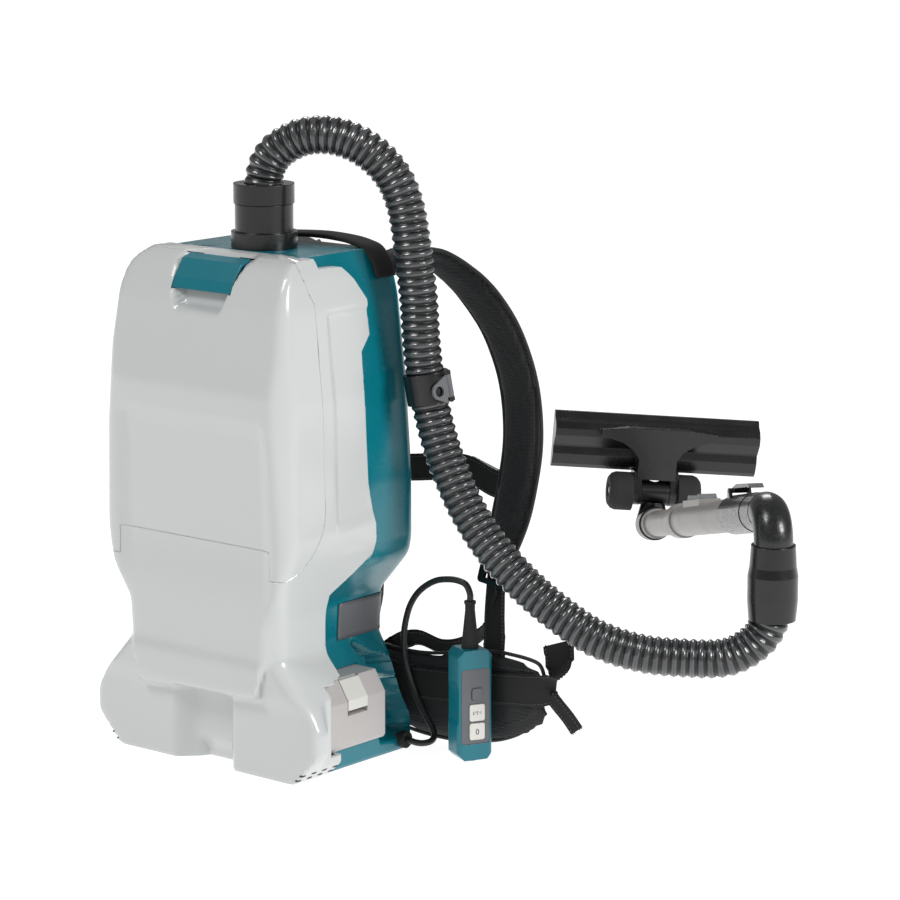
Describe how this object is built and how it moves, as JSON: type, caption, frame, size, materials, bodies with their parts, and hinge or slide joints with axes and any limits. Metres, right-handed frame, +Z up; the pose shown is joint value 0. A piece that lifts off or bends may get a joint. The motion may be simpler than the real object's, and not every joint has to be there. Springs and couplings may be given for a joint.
{
  "type": "backpack vacuum cleaner",
  "caption": "Battery backpack vacuum cleaner with hinged front lid, ribbed hose on a telescopic wand with a swivelling floor nozzle, padded harness and corded remote control.",
  "frame": {"origin": "middle of the housing's base, on the floor", "axes": "+Z up, -Y out of the lid's face, +Y towards the wearer's back, +X to the wearer's right"},
  "size_m": [0.695, 0.7332, 0.5531],
  "materials": {
    "white_shell": "satin",
    "teal_shell": "satin",
    "black_plastic": "satin",
    "grey_plastic": "satin",
    "cream_plastic": "satin",
    "pack_plastic": "satin",
    "smoked_plastic": "clear, smoked",
    "hose_plastic": "clear, smoked",
    "wand_plastic": "satin",
    "steel": "brushed",
    "copper": "bright",
    "board": "satin",
    "paper": "matt",
    "rubber": "matt",
    "mesh_fabric": "woven mesh",
    "webbing": "woven"
  },
  "bodies": {
    "vacuum": {"rear_housing": "teal_shell", "front_housing": "white_shell", "lid_hinge_pins": "steel", "lid_gasket": "rubber", "dust_bag": "paper", "main_filter": "paper", "filter_deck": "grey_plastic", "fan_housing": "black_plastic", "motor_case": "steel", "motor_bearings": "steel", "motor_mounts": "rubber", "circuit_board": "board", "battery_tray": "black_plastic", "battery_terminals": "copper", "rubber_feet": "rubber", "housing_screws": "steel", "inlet_collar": "black_plastic", "hose_coupling": "black_plastic", "hose": "hose_plastic", "hose_band": "black_plastic", "hose_cuff": "black_plastic", "back_pad": "mesh_fabric", "shoulder_pad_left": "mesh_fabric", "shoulder_pad_right": "mesh_fabric", "strap_webbing": "webbing", "strap_buckles": "black_plastic", "chest_strap": "webbing", "waist_belt": "mesh_fabric", "belt_webbing": "webbing", "carry_handle": "webbing", "remote_case": "teal_shell", "remote_panel": "grey_plastic", "remote_boot": "rubber", "remote_cord": "rubber", "cord_gland": "black_plastic"},
    "lid": {"front_lid": "white_shell", "latch_pin": "steel"},
    "latch": {"lid_latch": "teal_shell"},
    "pack_left": {"battery_left": "pack_plastic"},
    "pack_right": {"battery_right": "pack_plastic"},
    "release_left": {"release_button_left": "cream_plastic"},
    "release_right": {"release_button_right": "cream_plastic"},
    "rotor": {"impeller": "steel", "motor_shaft": "steel"},
    "plate": {"band_plate": "grey_plastic"},
    "handle": {"handle_pipe": "smoked_plastic", "wand_outer": "wand_plastic"},
    "lever": {"lock_lever": "smoked_plastic"},
    "inner_wand": {"wand_inner": "wand_plastic"},
    "lock_button": {"wand_lock_button": "grey_plastic"},
    "swivel": {"nozzle_elbow": "black_plastic", "nozzle_neck": "black_plastic"},
    "nozzle": {"nozzle_axle": "steel", "nozzle_body": "black_plastic", "nozzle_sole": "rubber"},
    "left_wheel": {"wheel_left": "rubber"},
    "right_wheel": {"wheel_right": "rubber"},
    "light_key": {"key_light": "grey_plastic"},
    "speed_key": {"key_speed": "cream_plastic"},
    "stop_key": {"key_stop": "cream_plastic"}
  },
  "joints": [
    {"name": "lid_hinge", "type": "hinge", "parent": "vacuum", "child": "lid", "pos_m": [0, -0.074, 0.188], "axis": [1, 0, 0], "range_deg": [0, 75]},
    {"name": "latch_pivot", "type": "hinge", "parent": "lid", "child": "latch", "pos_m": [0, -0.059, 0.427], "axis": [1, 0, 0], "range_deg": [-7, 0], "stiffness_Nm_per_rad": 0.3, "springref_deg": 2.86},
    {"name": "battery_left_slide", "type": "slide", "parent": "vacuum", "child": "pack_left", "axis": [-1, 0, 0], "range_m": [0, 0.06]},
    {"name": "battery_right_slide", "type": "slide", "parent": "vacuum", "child": "pack_right", "axis": [1, 0, 0], "range_m": [0, 0.06]},
    {"name": "release_left_press", "type": "slide", "parent": "pack_left", "child": "release_left", "axis": [0, 0, -1], "range_m": [0, 0.0035], "stiffness_N_per_m": 400, "springref_m": -0.002},
    {"name": "release_right_press", "type": "slide", "parent": "pack_right", "child": "release_right", "axis": [0, 0, -1], "range_m": [0, 0.0035], "stiffness_N_per_m": 400, "springref_m": -0.002},
    {"name": "fan_spin", "type": "hinge", "parent": "vacuum", "child": "rotor", "pos_m": [0, 0, 0.13], "axis": [0, 0, 1], "continuous": true},
    {"name": "plate_swing", "type": "hinge", "parent": "vacuum", "child": "plate", "pos_m": [0.15124, 0.07059, 0.3277], "axis": [-0.1574, -0.0734, 0.9848], "range_deg": [0, 120]},
    {"name": "handle_swivel", "type": "hinge", "parent": "vacuum", "child": "handle", "pos_m": [0.41, 0.181, 0.2], "axis": [0, 0, 1], "range_deg": [-120, 25]},
    {"name": "lever_press", "type": "hinge", "parent": "handle", "child": "lever", "pos_m": [0.31124, 0.27309, 0.2246], "axis": [-0.682, -0.7314, 0], "range_deg": [-2.5, 0], "stiffness_Nm_per_rad": 0.3, "springref_deg": 2.86},
    {"name": "wand_telescope", "type": "slide", "parent": "handle", "child": "inner_wand", "axis": [-0.7114, 0.6634, -0.2317], "range_m": [0, 0.25]},
    {"name": "wand_lock_press", "type": "slide", "parent": "handle", "child": "lock_button", "axis": [-0.7114, 0.6634, -0.2317], "range_m": [0, 0.007], "stiffness_N_per_m": 200, "springref_m": -0.003},
    {"name": "nozzle_swivel", "type": "hinge", "parent": "inner_wand", "child": "swivel", "pos_m": [0.02582, 0.53925, 0.11086], "axis": [-0.7114, 0.6634, -0.2317], "range_deg": [-90, 90]},
    {"name": "nozzle_tilt", "type": "hinge", "parent": "swivel", "child": "nozzle", "pos_m": [0.01582, 0.55203, 0.13931], "axis": [-0.6934, -0.7163, 0.078], "range_deg": [-25, 70]},
    {"name": "wheel_left_spin", "type": "hinge", "parent": "nozzle", "child": "left_wheel", "pos_m": [0.01582, 0.55203, 0.13931], "axis": [-0.6934, -0.7163, 0.078], "continuous": true},
    {"name": "wheel_right_spin", "type": "hinge", "parent": "nozzle", "child": "right_wheel", "pos_m": [0.01582, 0.55203, 0.13931], "axis": [-0.6934, -0.7163, 0.078], "continuous": true},
    {"name": "light_press", "type": "slide", "parent": "vacuum", "child": "light_key", "axis": [-0.8949, 0.4462, 0], "range_m": [0, 0.0008], "stiffness_N_per_m": 300, "springref_m": -0.001},
    {"name": "speed_press", "type": "slide", "parent": "vacuum", "child": "speed_key", "axis": [-0.8949, 0.4462, 0], "range_m": [0, 0.0008], "stiffness_N_per_m": 300, "springref_m": -0.001},
    {"name": "stop_press", "type": "slide", "parent": "vacuum", "child": "stop_key", "axis": [-0.8949, 0.4462, 0], "range_m": [0, 0.0008], "stiffness_N_per_m": 300, "springref_m": -0.001}
  ]
}
